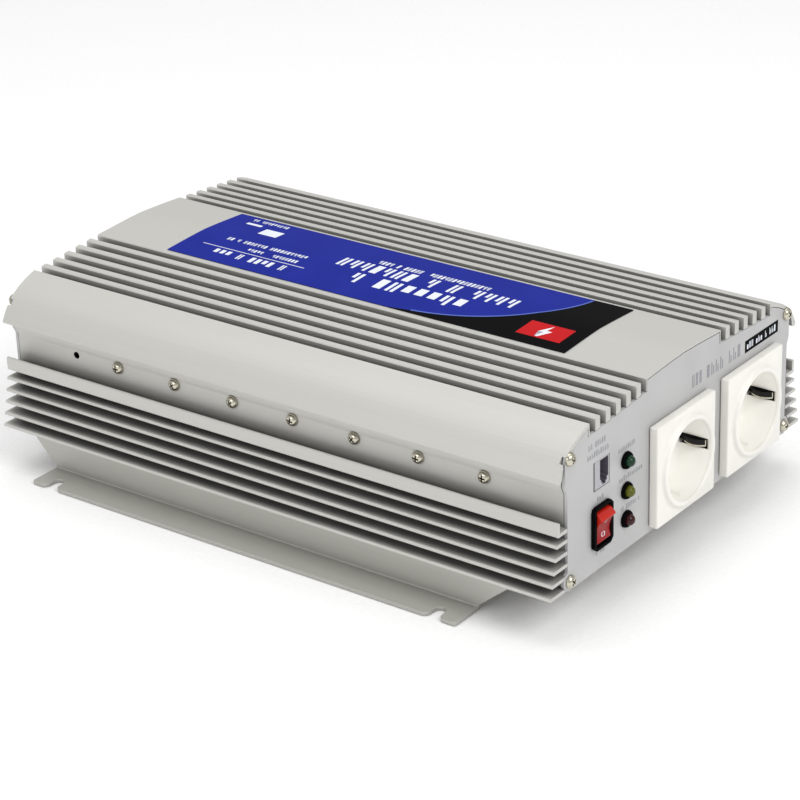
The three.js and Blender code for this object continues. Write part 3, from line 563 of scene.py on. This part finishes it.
SPARE_HOLE_Y = FRONT + 297.4 * MM             # the empty hole at the end of the row of side screws
SPARE_HOLE_Z = centre_of("side_screw_left_1").z
CROWN_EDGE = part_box("front_panel")[1].z - 3.5 * MM


def in_spare_hole(face):
    off_axis = math.hypot(face.center.y - SPARE_HOLE_Y, face.center.z - SPARE_HOLE_Z)
    return abs(face.normal.x) < 0.5 and off_axis < 2.2 * MM


housing = refined("housing_extrusion", 0.25 * MM, 2)
# The spare hole's wall is painted black, as painted shade inside the hole.
painted(housing.data, MAT["black"], in_spare_hole)
front = refined("front_panel", 0.15 * MM, 2)
# The panel's top edge under the crown is painted dark, as the painted shadow of the joint.
painted(front.data, MAT["dark"], lambda face: face.normal.z > 0.6 and face.center.z > CROWN_EDGE)
refined("rear_panel", 0.15 * MM, 2)
refined("mounting_rail_left", 0.25 * MM, 2)
refined("mounting_rail_right", 0.25 * MM, 2)
refined("base_plate", 0.2 * MM, 2)


# ------------------------------------------------------------------ screws

HEAD_HEIGHT = 2.6                             # of every pan head, in millimetres


def screw_mesh(shank):
    """A pan head screw along +Y with a tapered cross recess, its seat at y = 0."""
    solid = lathe([
        (0, -HEAD_HEIGHT), (0.9, -2.57), (1.7, -2.4), (2.4, -2.0), (2.9, -1.45), (3.2, -0.8), (3.3, -0.3),
        (3.25, -0.06), (3.15, 0), (1.6, 0), (1.6, shank), (0, shank),
    ], 36)
    wide, narrow, half = 1.95, 1.1, 0.42
    wing = [(-wide, -3.0), (wide, -3.0), (narrow, -1.1), (-narrow, -1.1)]
    across = prism(wing, (-half, half), "z")
    along = across.copy()
    along.transform(Matrix.Rotation(math.radians(90), 4, "Y"))
    cut = combined(solid, [across, along], "DIFFERENCE")
    smooth(cut, 30)
    return bevelled(cut, 0.07 * MM, 2, 35)


def fit_screw(node, shank, direction):
    """Puts a screw in place of a CAD node. Direction is the way its shank points."""
    low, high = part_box(node)
    middle = (low + high) / 2
    spin = Matrix.Rotation(random.uniform(0, math.pi / 2), 4, "Y")
    turn = Vector((0, 1, 0)).rotation_difference(Vector(direction)).to_matrix().to_4x4()
    if direction[1]:
        middle.y = low.y + HEAD_HEIGHT * MM if direction[1] > 0 else high.y - HEAD_HEIGHT * MM
    else:
        middle.x = low.x + HEAD_HEIGHT * MM if direction[0] > 0 else high.x - HEAD_HEIGHT * MM
    mesh = moved(screw_mesh(shank), middle, turn @ spin)
    piece(f"{node}_cross_head", mesh, MAT["nickel"], CASE, [node])


random.seed(7)
for i in range(1, 5):
    fit_screw(f"front_screw_{i}", 8.9, (0, 1, 0))
    fit_screw(f"rear_screw_{i}", 8.9, (0, -1, 0))
for i in range(1, 8):
    fit_screw(f"side_screw_left_{i}", 6.9, (1, 0, 0))
    fit_screw(f"side_screw_right_{i}", 6.9, (-1, 0, 0))


# ------------------------------------------------------------------ outlets

COVER_HALF = 26.1                             # the square cover, in millimetres, and what is cut in it
COVER_FACE = -5.2
WELL_RADIUS = 19.75
WELL_FLOOR = 10.5
SLOT_END = 21.6                               # how far the strip slots reach from the middle
SLOT_HALF = 2.7
SLOT_MOUTH = -4.8
PIN_OFFSET = 9.5


def outlet_mesh():
    """A square cover with a soft raised collar round a deep well, about the middle of the well."""
    square = (-COVER_HALF, COVER_HALF)
    cover = bevelled(box_mesh(square, (COVER_FACE, -0.3), square), 0.85 * MM, 4)
    collar = lathe([
        (0, -7.7), (21.3, -7.7), (21.9, -7.62), (22.4, -7.3), (22.65, -6.8), (22.75, -6.2), (23.0, -5.7),
        (23.5, -5.35), (24.2, -5.2), (24.2, -4.4), (22.6, -4.4), (22.6, 13.5), (0, 13.5),
    ], 96)
    well = lathe([
        (0, -9), (21.2, -9), (21.2, -7.8), (20.6, -7.62), (20.15, -7.3), (19.88, -6.8),
        (WELL_RADIUS, -6.1), (WELL_RADIUS, 9.9), (19.1, WELL_FLOOR), (0, WELL_FLOOR),
    ], 96)
    slot_height = (-SLOT_HALF, SLOT_HALF)
    slot = box_mesh((-SLOT_END, SLOT_END), (SLOT_MOUTH, WELL_FLOOR - 0.1), slot_height)
    hole = [(0, 9), (2.9, 9), (2.9, 10.6), (2.5, 11.1), (2.5, 20), (0, 20)]
    holes = [lathe(hole, 32, (0, z)) for z in (-PIN_OFFSET, PIN_OFFSET)]
    back_holes = [box_mesh(x, (9, 20), slot_height) for x in ((-SLOT_END, -19), (19, SLOT_END))]
    body = combined(cover, [collar], "UNION")
    body = combined(body, [well, slot, *holes, *back_holes], "DIFFERENCE")
    ribs = []
    for side in (-1, 1):
        span = sorted((side * 17.6, side * 20.5))
        ribs.append(bevelled(box_mesh((-1.1, 1.1), (-2.5, 11), span), 0.5 * MM, 3))
    return combined(body, ribs, "UNION")


def in_well(face):
    return math.hypot(face.center.x, face.center.z) < 20.9 * MM and face.center.y > -4.3 * MM


def in_strip_slot(face):
    across, along, up = abs(face.center.x) / MM, face.center.y / MM, abs(face.center.z) / MM
    beside = 19.4 < across < SLOT_END + 0.1
    return beside and SLOT_MOUTH - 0.1 < along < WELL_FLOOR + 0.1 and up < SLOT_HALF + 0.05


OUTLET = outlet_mesh()
smooth(OUTLET, EDGE_ANGLE)
for side in ("left", "right"):
    node = f"outlet_{side}_shell"
    low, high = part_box(node)
    middle = Vector(((low.x + high.x) / 2, FRONT, (low.z + high.z) / 2))
    mesh = OUTLET.copy()
    mesh.materials.append(MAT["outlet"])
    # The faces inside the well take the lighter copy of the plastic, as painted light.
    painted(mesh, MAT["outlet_inside"], in_well)
    # The strip slots beside the well are painted near black, as painted shade.
    painted(mesh, MAT["dark"], in_strip_slot)
    piece(f"{node}_moulding", moved(mesh, middle), MAT["outlet"], CASE, [node])
    clip_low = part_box(f"outlet_{side}_earth_clip")[0]
    tip, lit_edge = clip_low.y + 0.9 * MM, clip_low.z + 0.8 * MM
    # Behind the tip and above its lit lower edge, the clip is painted near black: a painted reflection of
    # the dark slot.
    clip = refined(f"outlet_{side}_earth_clip", 0.12 * MM, 2, lit_edge)
    painted(clip.data, MAT["dark"], lambda face: face.center.y > tip and face.center.z > lit_edge)


# ------------------------------------------------------------------ switch

ROCKER_RIDGE = 6.2                            # height of each ridge from the pivot, in millimetres
FACE_LEVEL = -3.8                             # the middle of the rocker's face
DISH_RISE = 1.8                               # from the middle of the face to a ridge
DISH_POWER = 2.2
FACE_STEPS = 20                               # from the middle to a ridge


def face_depth(height):
    """Where the rocker's hollowed face stands, at a height above its pivot."""
    return FACE_LEVEL - DISH_RISE * (abs(height) / ROCKER_RIDGE) ** DISH_POWER


def rocker_mesh():
    """The rocker level about its pivot: hollowed faces, a crisp ridge and a sloping end each way."""
    step = ROCKER_RIDGE / FACE_STEPS
    heights = [step * i - ROCKER_RIDGE for i in range(2 * FACE_STEPS + 1)]
    face = [(face_depth(z), z) for z in heights]
    crest = [(-5.45, 6.5), (-4.6, 7.15), (-2.4, 8.3), (-0.6, 8.3), (2.2, 4.6)]
    foot = [(y, -z) for y, z in reversed(crest)]
    paddle = bevelled(prism(face + crest + foot, (-5.7, 5.7), "x"), 0.28 * MM, 3, 40)
    pins = lathe([(0, -6.5), (1.2, -6.5), (1.2, 6.5), (0, 6.5)], 28)
    pins.transform(Matrix.Rotation(math.radians(90), 4, "Z"))
    return combined(paddle, [pins], "UNION")


ROCKER_TILT = Matrix.Rotation(math.radians(13), 4, "X")      # it stands at off
switch_middle = centre_of("switch_housing")
PIVOT = Vector((switch_middle.x, FRONT + 1.9 * MM, switch_middle.z))
rocker = rocker_mesh()
smooth(rocker, 30)
rocker.materials.append(MAT["red"])
painted(rocker, MAT["rose"], lambda face: face.normal.y < -0.8 and face.center.z < 5.9 * MM)
moved(rocker, PIVOT, ROCKER_TILT)
piece("switch_rocker_paddle", rocker, MAT["red"], "rocker", ["switch_rocker"])


def on_rocker(mesh, height):
    """Lays a flat mark, drawn round y = 0, on the rocker's face at a height above its pivot."""
    steepness = DISH_RISE * DISH_POWER * (abs(height) / ROCKER_RIDGE) ** (DISH_POWER - 1) / ROCKER_RIDGE
    slope = math.copysign(math.atan(steepness), height)
    place = Vector((0, face_depth(height), height)) * MM
    lay = Matrix.Translation(place) @ Matrix.Rotation(slope, 4, "X")
    return moved(mesh, PIVOT, ROCKER_TILT @ lay)


ring = lathe([(1.0, -0.06), (1.5, -0.06), (1.5, 0.12), (1.0, 0.12), (1.0, -0.06)], 40)
smooth(ring)
piece("switch_rocker_off_mark", on_rocker(ring, -3.6), MAT["white_ink"], "rocker")
bar = bevelled(box_mesh((-0.25, 0.25), (-0.06, 0.12), (-1.3, 1.3)), 0.05 * MM)
piece("switch_rocker_on_mark", on_rocker(bar, 3.4), MAT["white_ink"], "rocker")
refined("switch_housing", 0.35 * MM, 3)


# ------------------------------------------------------------------ remote socket and lamps

CONTACT_COUNT = 6
CONTACT_PITCH = 1.02                          # millimetres
PORT_LOW, PORT_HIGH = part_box("remote_port")


def in_socket(face):
    between_sides = PORT_LOW.x + 0.5 * MM < face.center.x < PORT_HIGH.x - 0.5 * MM
    return between_sides and face.center.y > PORT_LOW.y + 1.0 * MM


port = refined("remote_port", 0.12 * MM, 2)
# The faces deep inside the socket are painted darker, as painted shade.
painted(port.data, MAT["socket"], in_socket)
contacts = []
for i in range(CONTACT_COUNT):
    x = (PORT_HIGH.x - 1.3 * MM) / MM - i * CONTACT_PITCH
    y = PORT_LOW.y / MM
    z = (PORT_HIGH.z / MM) - 0.75
    contact = box_mesh((x - 0.2, x + 0.2), (y + 1.6, y + 9), (z - 0.55, z - 0.2))
    contacts.append(bevelled(contact, 0.08 * MM))
piece("remote_port_contacts", joined(contacts), MAT["brass"])

LENS_RADIUS = 2.8
DOME_ANGLES = [math.radians(9 * i) for i in range(11)]
DOME = [(LENS_RADIUS * math.sin(angle), -2.2 - 2.75 * math.cos(angle)) for angle in DOME_ANGLES]
LENS_PROFILE = [*DOME, (LENS_RADIUS, 5.9), (0, 5.9)]
BEZEL_PROFILE = [
    (3.1, 5), (3.1, -1.7), (3.25, -2.0), (3.5, -2.08), (3.8, -1.9), (4.1, -1.4), (4.28, -0.8),
    (4.3, -0.3), (3.5, -0.3), (3.5, 5), (3.1, 5),
]


def turned_on_panel(profile, at):
    """A piece turned about a point of the front panel. Its profile counts from the panel's face."""
    mesh = lathe([(radius, FRONT / MM + along) for radius, along in profile], 40, at)
    smooth(mesh)
    return mesh


for lamp, lens in (("normal", "green_lens"), ("over_temperature", "amber_lens"), ("overload", "red_lens")):
    middle = centre_of(f"lamp_{lamp}_lens")
    at = (middle.x / MM, middle.z / MM)
    node = f"lamp_{lamp}_lens"
    mesh = turned_on_panel(LENS_PROFILE, at)
    piece(f"{node}_dome", mesh, MAT[lens], CASE, [node])
    node = f"lamp_{lamp}_bezel"
    mesh = turned_on_panel(BEZEL_PROFILE, at)
    piece(f"{node}_ring", mesh, MAT["black"], CASE, [node])


# ------------------------------------------------------------------ printing

LABEL_LOW, LABEL_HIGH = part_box("top_label")
LABEL_HALF = LABEL_HIGH.x / MM
LABEL_START, LABEL_END = (LABEL_LOW.y - FRONT) / MM, (LABEL_HIGH.y - FRONT) / MM


def label_stations():
    """The top of the CAD label at each distance from its middle where it bends."""
    label = frame["nodes"]["top_label"]
    tops = {}
    for vert in label.data.vertices:
        spot = label.matrix_world @ vert.co
        key = round(spot.x / MM, 2)
        tops[key] = max(tops.get(key, -1), spot.z / MM)
    return sorted(tops.items())


STATIONS = label_stations()


def label_height(x):
    """The top of the label film, which follows the crown, at a distance from the middle."""
    for (x0, z0), (x1, z1) in zip(STATIONS, STATIONS[1:]):
        if x <= x1:
            return z0 + (z1 - z0) * (x - x0) / (x1 - x0)
    return STATIONS[-1][1]


def crown_print(name, outlines, material, sunk, thickness=0.03, replaces=()):
    """Flat shapes laid on the crown, from outlines of x and distance behind the front panel.

    Their top is sunk by some millimetres under the CAD label's.
    """
    shape = bmesh.new()
    for outline in outlines:
        verts = [shape.verts.new((x * MM, FRONT + y * MM, 0)) for x, y in outline]
        shape.faces.new(verts)
    bmesh.ops.triangulate(shape, faces=shape.faces)
    for x, _ in STATIONS[1:-1]:
        split_at(shape, (x * MM, 0, 0), (1, 0, 0))
    for vert in shape.verts:
        vert.co.z = (label_height(vert.co.x / MM) - sunk) * MM
    faces = list(shape.faces)
    grown = bmesh.ops.extrude_face_region(shape, geom=faces)
    for item in grown["geom"]:
        if isinstance(item, bmesh.types.BMVert):
            item.co.z -= thickness * MM
    mesh = as_mesh(shape)
    smooth(mesh, 30)
    return piece(name, mesh, material, CASE, replaces)


def rectangle(u0, u1, v0, v1):
    """The corners of a rectangle, from its limits in two directions."""
    return [(u0, v0), (u1, v0), (u1, v1), (u0, v1)]


def dashes(u0, u1, count):
    """Bars of unequal width that stand for the signs of one printed line, between u0 and u1.

    Each is a start, an end and the share of its height that it lacks. Some signs are one wide bar,
    some are a tall thin bar and a shorter one, and some are left out as spaces.
    """
    wide, thin = 0.62, 0.24
    space_share, one_bar_share = 0.12, 0.5
    step = (u1 - u0) / count
    bars = []
    for i in range(count):
        start = u0 + i * step
        kind = random.random()
        if kind < space_share:
            continue
        if kind < one_bar_share:
            bars.append((start, start + wide * step, random.choice((0, 0, 0.28))))
        else:
            stroke = thin * step
            bars.append((start, start + stroke, 0))
            bars.append((start + 1.7 * stroke, start + 2.7 * stroke, random.choice((0, 0.3, 0.45))))
    return bars


def label_line(y0, y1, x0, x1, count):
    """One printed line of count signs on the label. It runs along Y, and its tops are towards -X."""
    bars = dashes(y0, y1, count)
    return [rectangle(x0 + drop * (x1 - x0), x1, start, end) for start, end, drop in bars]


INSET = 0.05                                  # keeps the blue film's sides inside the dark field's
film = rectangle(INSET - LABEL_HALF, LABEL_HALF - INSET, LABEL_START + INSET, LABEL_END)
crown_print("top_label_film", [film], MAT["blue_ink"], 0.1, 0.2, ["top_label"])

ARC_MIDDLE = (35, 150)                        # of the ellipse that bounds the dark field
ARC_RADII = (64, 81.5)


def arc_point(angle, growth):
    """A point of the ellipse, drawn larger by growth."""
    x = ARC_MIDDLE[0] - (ARC_RADII[0] + growth) * math.cos(angle)
    return x, ARC_MIDDLE[1] - (ARC_RADII[1] + growth) * math.sin(angle)


def arc_outline(growth):
    """The stretch of the ellipse that crosses the label."""
    angles = [math.radians(8.5 + i * 1.9) for i in range(42)]
    points = [arc_point(angle, growth) for angle in angles]
    return [(max(x, -LABEL_HALF), y) for x, y in points if x < LABEL_HALF]


edge = arc_outline(0)
tail = (-LABEL_HALF, ARC_MIDDLE[1])
dark = [(-LABEL_HALF, LABEL_START), tail, *edge, (LABEL_HALF, edge[-1][1] - 0.6), (LABEL_HALF, LABEL_START)]
crown_print("top_label_dark_field", [dark], MAT["black_ink"], 0.07, 0.22)
line = arc_outline(0.1) + arc_outline(-0.9)[::-1]
crown_print("top_label_edge_line", [line], MAT["pale_blue_ink"], 0.05)

# Two large lines, a small one, then four smaller lines, a rule and two blocks at the rear.
random.seed(11)
signs = [
    *label_line(119, 190, -16, -5.6, 9),
    *label_line(97, 207, -2.4, 7.8, 16),
    *label_line(119, 188, 10, 14.4, 30),
    *label_line(224, 272, -22.6, -17, 12),
    *label_line(223, 256, -12, -9, 16),
    *label_line(222, 275, -5.4, -2.2, 24),
    *label_line(258, 286, 24.2, 27.4, 14),
    rectangle(-15, -14.5, 215, 282),
    rectangle(18.6, 21, 271, 281),
    rectangle(10, 18, 254, 266),
]
crown_print("top_label_greeked_print", signs, MAT["white_ink"], 0.04)
crown_print("top_label_emblem", [rectangle(-23.4, -8.6, 54.5, 79.5)], MAT["red_ink"], 0.04)
bolt = [
    (-22.2, 67.8), (-15.3, 63.6), (-15.3, 66.7), (-9.8, 65.8), (-17.1, 70.4), (-17.1, 67.4), (-22.2, 69.4),
]
crown_print("top_label_emblem_bolt", [bolt], MAT["white_ink"], 0.01)


PRINT_DEPTH = 0.03                            # millimetres that the print reaches into a panel


def panel_print(name, outlines, material, lift=0.03, face=FRONT, outwards=-1):
    """Flat marks that stand out from an end panel by lift, from outlines of x and z."""
    near, far = face / MM + outwards * lift, face / MM - outwards * PRINT_DEPTH
    meshes = [prism(outline, sorted((near, far)), "y") for outline in outlines]
    return piece(name, joined(meshes), material)


def panel_line(x0, x1, z0, z1, count):
    """One printed line of count signs on an end panel."""
    bars = dashes(x0, x1, count)
    return [rectangle(start, end, z0, z1 - drop * (z1 - z0)) for start, end, drop in bars]


# Captions over the socket, at the lamps and switch, and over the outlets.
random.seed(23)
captions = [
    *panel_line(-82, -65.5, 86, 89, 9),
    *panel_line(-83, -64.8, 81.3, 84.3, 10),
    *panel_line(-57, -42.5, 74.6, 77.2, 9),
    *panel_line(-60, -36, 59.4, 62, 13),
    *panel_line(-55, -38.5, 43.9, 46.5, 11),
    *panel_line(-75, -69, 58, 60.4, 3),
    *panel_line(-76, -68.5, 30.8, 33.2, 4),
    *panel_line(7.5, 17.5, 82.8, 89.4, 3),
    *panel_line(21, 54, 82.8, 89.4, 8),
]
panel_print("front_panel_captions", captions, MAT["grey_ink"])
panel_print("front_panel_tag", [rectangle(57, 89.4, 82.2, 88.6)], MAT["black_ink"], 0.03)
panel_print("front_panel_tag_marks", panel_line(59, 87.6, 83.7, 87.1, 13), MAT["white_ink"], 0.06)

ARM, STROKE = 3, 0.8                          # half the length and half the width of a sign's bars
MINUS = rectangle(-ARM, ARM, -STROKE, STROKE)
PLUS = [
    (-ARM, -STROKE), (-STROKE, -STROKE), (-STROKE, -ARM), (STROKE, -ARM), (STROKE, -STROKE), (ARM, -STROKE),
    (ARM, STROKE), (STROKE, STROKE), (STROKE, ARM), (-STROKE, ARM), (-STROKE, STROKE), (-ARM, STROKE),
]
SIGN_RISE = 17                                # from the middle of a terminal to its sign
for pole, sign in (("negative", MINUS), ("positive", PLUS)):
    middle = centre_of(f"terminal_{pole}_collar") / MM
    outline = [(middle.x + x, middle.z + SIGN_RISE + z) for x, z in sign]
    panel_print(f"rear_panel_{pole}_sign", [outline], MAT["black_ink"], 0.03, REAR, 1)


# ------------------------------------------------------------------ rear and inside

def thread(start, end, radius, pitch=1.25, depth=0.55):
    """The profile of a threaded rod as ridges one pitch apart."""
    points = []
    along = start
    while along + pitch < end:
        rise, fall = along + 0.45 * pitch, along + 0.6 * pitch
        points += [(radius - depth, along), (radius, rise), (radius, fall)]
        along += pitch
    return points


for pole in ("negative", "positive"):
    low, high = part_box(f"terminal_{pole}_stud")
    middle = (low + high) / 2 / MM
    back, tip = low.y / MM, high.y / MM
    profile = [
        (0, back), (7, back), (7, back + 5), (3.9, back + 5), *thread(back + 6, tip - 1.6, 4.0),
        (3.45, tip - 1.2), (3.9, tip - 0.9), (3.2, tip), (0, tip),
    ]
    mesh = lathe(profile, 36, (middle.x, middle.z))
    smooth(mesh, 25)
    node = f"terminal_{pole}_stud"
    piece(f"{node}_thread", mesh, MAT["brass"], CASE, [node])
    refined(f"terminal_{pole}_collar", 0.5 * MM, 3)
    refined(f"terminal_{pole}_washer", 0.2 * MM, 2)
    refined(f"terminal_{pole}_knob", 0.55 * MM, 3)

EDGE_WIDTHS = {
    "ground_screw": 0.3, "fan_frame": 0.4, "fan_rotor": 0.25, "circuit_board": 0.15,
    "transformer_1": 0.8, "transformer_2": 0.8, "bulk_capacitor": 1.2,
    "transistor_bar_left": 0.3, "transistor_bar_right": 0.3,
}
for node, width in EDGE_WIDTHS.items():
    refined(node, width * MM, 2)
